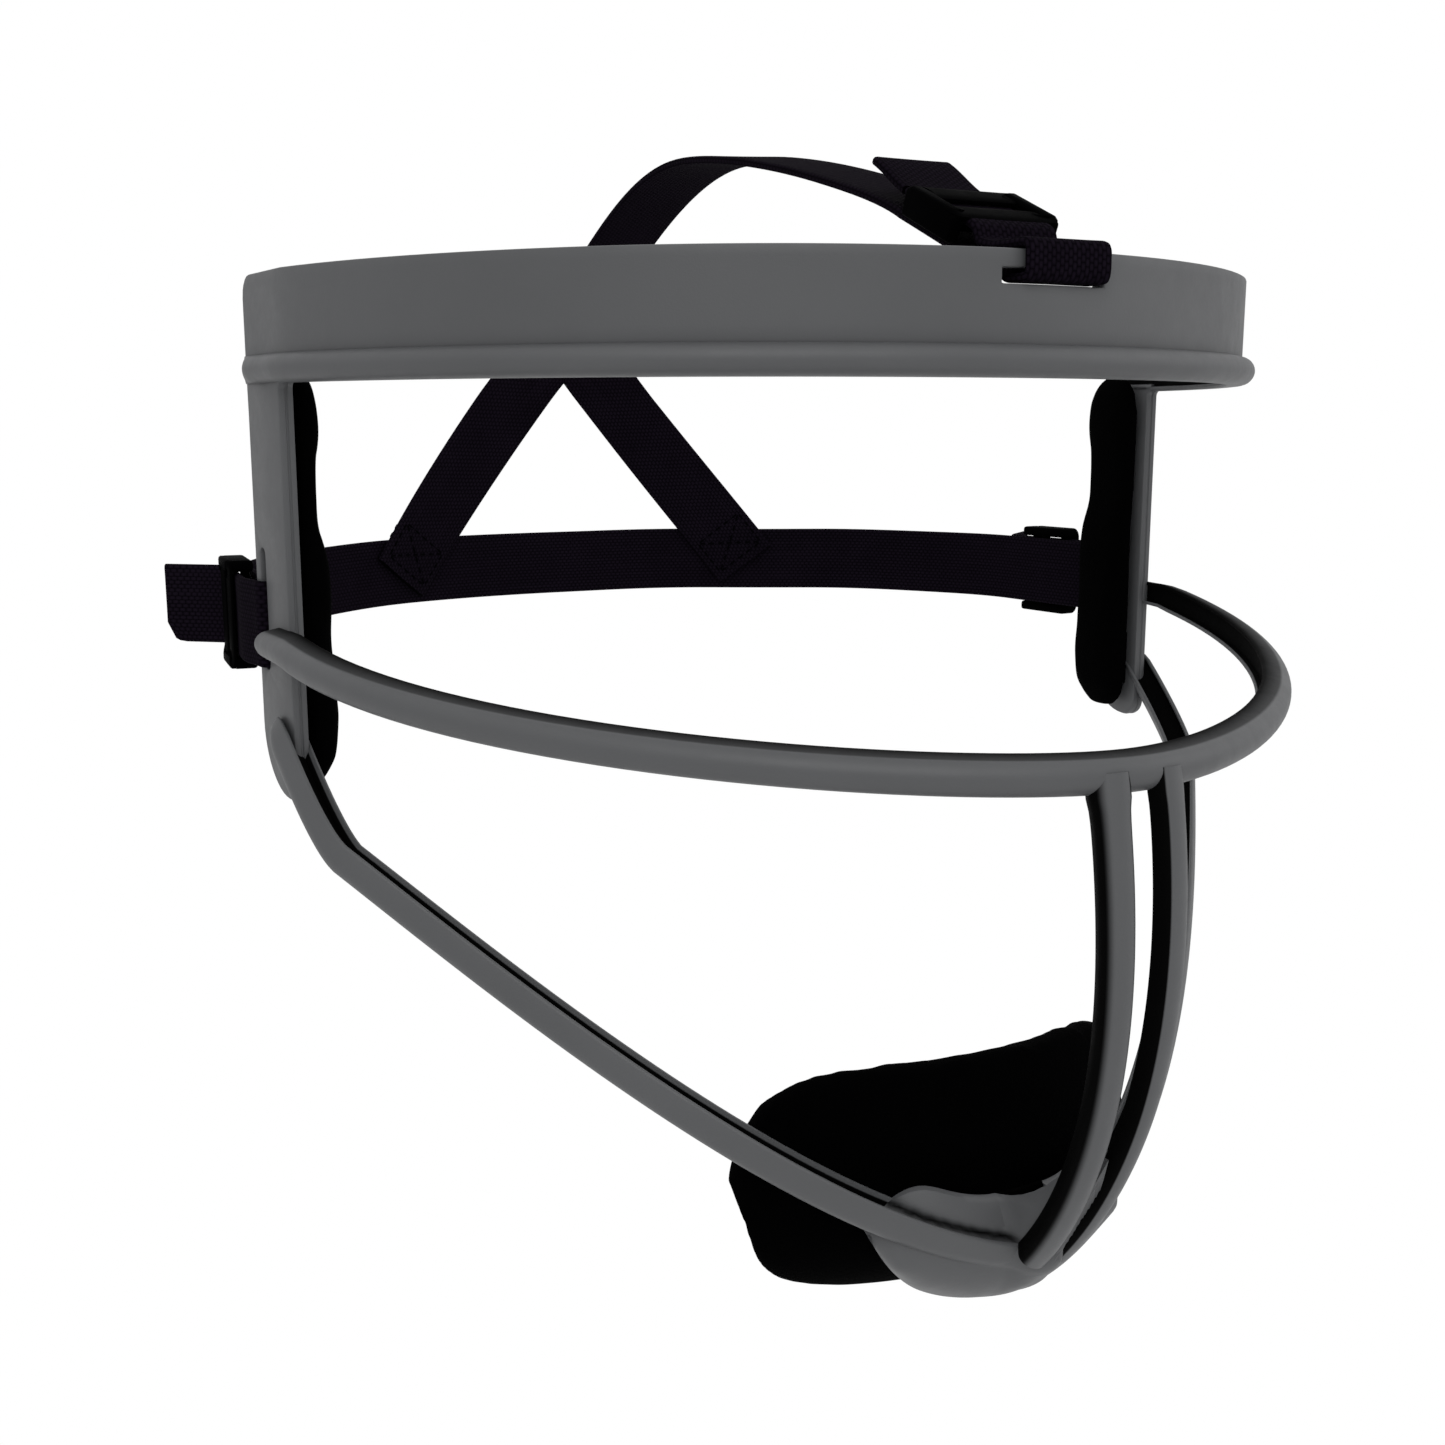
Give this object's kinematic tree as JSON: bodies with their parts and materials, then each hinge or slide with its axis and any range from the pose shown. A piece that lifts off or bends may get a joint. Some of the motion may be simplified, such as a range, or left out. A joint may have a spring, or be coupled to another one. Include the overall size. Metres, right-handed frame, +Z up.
{
  "type": "softball fielder's face mask",
  "caption": "Open-front moulded grey face guard for a softball fielder, with black pads at brow, cheeks and chin and a black webbing harness on slide buckles.",
  "frame": {"origin": "middle of the head opening, between the temples and level with the underside of the brow rail", "axes": "+X to the wearer's left, -Y out of the front of the mask, +Z up"},
  "size_m": [0.2246, 0.233, 0.2064],
  "materials": {
    "frame": "satin moulded grey, finely grained, darker in the channels",
    "pad_skin": "matte black brushed fabric over foam",
    "hook_tape": "black hook tape",
    "webbing": "very dark plain-weave webbing",
    "buckle": "black moulded plastic, softly glossy"
  },
  "bodies": {
    "mask": {"forehead_band": "frame", "brow_rail": "frame", "upright_right": "frame", "upright_left": "frame", "cheek_bar": "frame", "centre_bar_right": "frame", "centre_bar_left": "frame", "jaw_bar_right": "frame", "jaw_bar_left": "frame", "chin_plate": "frame", "forehead_pad": "pad_skin", "side_pad_right": "pad_skin", "side_pad_left": "pad_skin", "chin_pad": "pad_skin", "forehead_pad_tape": "hook_tape", "side_pad_tape_right": "hook_tape", "side_pad_tape_left": "hook_tape", "chin_pad_tape": "hook_tape", "back_strap": "webbing", "slot_loop_right": "webbing", "slot_loop_left": "webbing", "yoke_leg_right": "webbing", "yoke_leg_left": "webbing", "crown_strap": "webbing", "crown_slot_loop": "webbing"},
    "buckle_right": {"buckle_right": "buckle"},
    "buckle_left": {"buckle_left": "buckle"},
    "crown_buckle": {"crown_buckle": "buckle"},
    "side_tail_right": {"side_tail_right": "webbing"},
    "side_tail_left": {"side_tail_left": "webbing"},
    "crown_tail": {"crown_tail": "webbing"}
  },
  "joints": [
    {"name": "buckle_right_slide", "type": "slide", "parent": "mask", "child": "buckle_right", "axis": [0.0872, 0.9962, 0], "range_m": [-0.003, 0.003]},
    {"name": "buckle_left_slide", "type": "slide", "parent": "mask", "child": "buckle_left", "axis": [-0.0872, 0.9962, 0], "range_m": [-0.003, 0.003]},
    {"name": "crown_buckle_slide", "type": "slide", "parent": "mask", "child": "crown_buckle", "axis": [0, 0.9171, 0.3987], "range_m": [-0.003, 0.003]},
    {"name": "side_tail_right_fold", "type": "hinge", "parent": "mask", "child": "side_tail_right", "pos_m": [-0.09981, 0.05045, -0.0436], "axis": [0, 0, 1], "range_deg": [-25, 35]},
    {"name": "side_tail_left_fold", "type": "hinge", "parent": "mask", "child": "side_tail_left", "pos_m": [0.09981, 0.05045, -0.0436], "axis": [0, 0, -1], "range_deg": [-25, 35]},
    {"name": "crown_tail_fold", "type": "hinge", "parent": "mask", "child": "crown_tail", "pos_m": [0, -0.05375, 0.03138], "axis": [1, 0, 0], "range_deg": [0, 40]}
  ]
}
